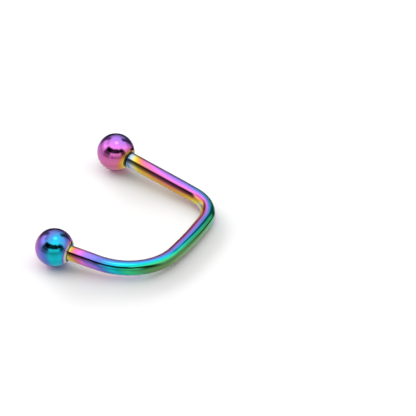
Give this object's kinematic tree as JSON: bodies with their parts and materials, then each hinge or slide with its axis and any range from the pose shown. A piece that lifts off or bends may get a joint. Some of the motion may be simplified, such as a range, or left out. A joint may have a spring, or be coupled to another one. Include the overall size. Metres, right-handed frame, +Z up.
{
  "type": "lip hoop",
  "caption": "D-shaped bent wire with a screw-on ball on each end, mirror polished with a rainbow film, lying on its side.",
  "frame": {"origin": "middle of the footprint, on the surface that the hoop lies on", "axes": "+Z up from the surface; the long leg runs along X with its ball towards -X, and the short leg's ball lies towards -Y"},
  "size_m": [0.0136, 0.0158, 0.003],
  "materials": {
    "bar_film": "mirror polished steel wire with a thin rainbow oxide film, bare on the threads",
    "back_ball_film": "mirror polished steel with a violet and pink film that turns gold at the mouth",
    "front_ball_film": "mirror polished steel with a blue film that turns violet at its sides"
  },
  "bodies": {
    "hoop": {"bar": "bar_film"},
    "back_end": {"back_ball": "back_ball_film"},
    "front_end": {"front_ball": "front_ball_film"}
  },
  "joints": [
    {"name": "back_ball_off", "type": "slide", "parent": "hoop", "child": "back_end", "axis": [-0.9959, 0.0014, 0.0904], "range_m": [0, 0.01]},
    {"name": "front_ball_off", "type": "slide", "parent": "hoop", "child": "front_end", "axis": [-0.9673, -0.2354, 0.0949], "range_m": [0, 0.01]}
  ]
}
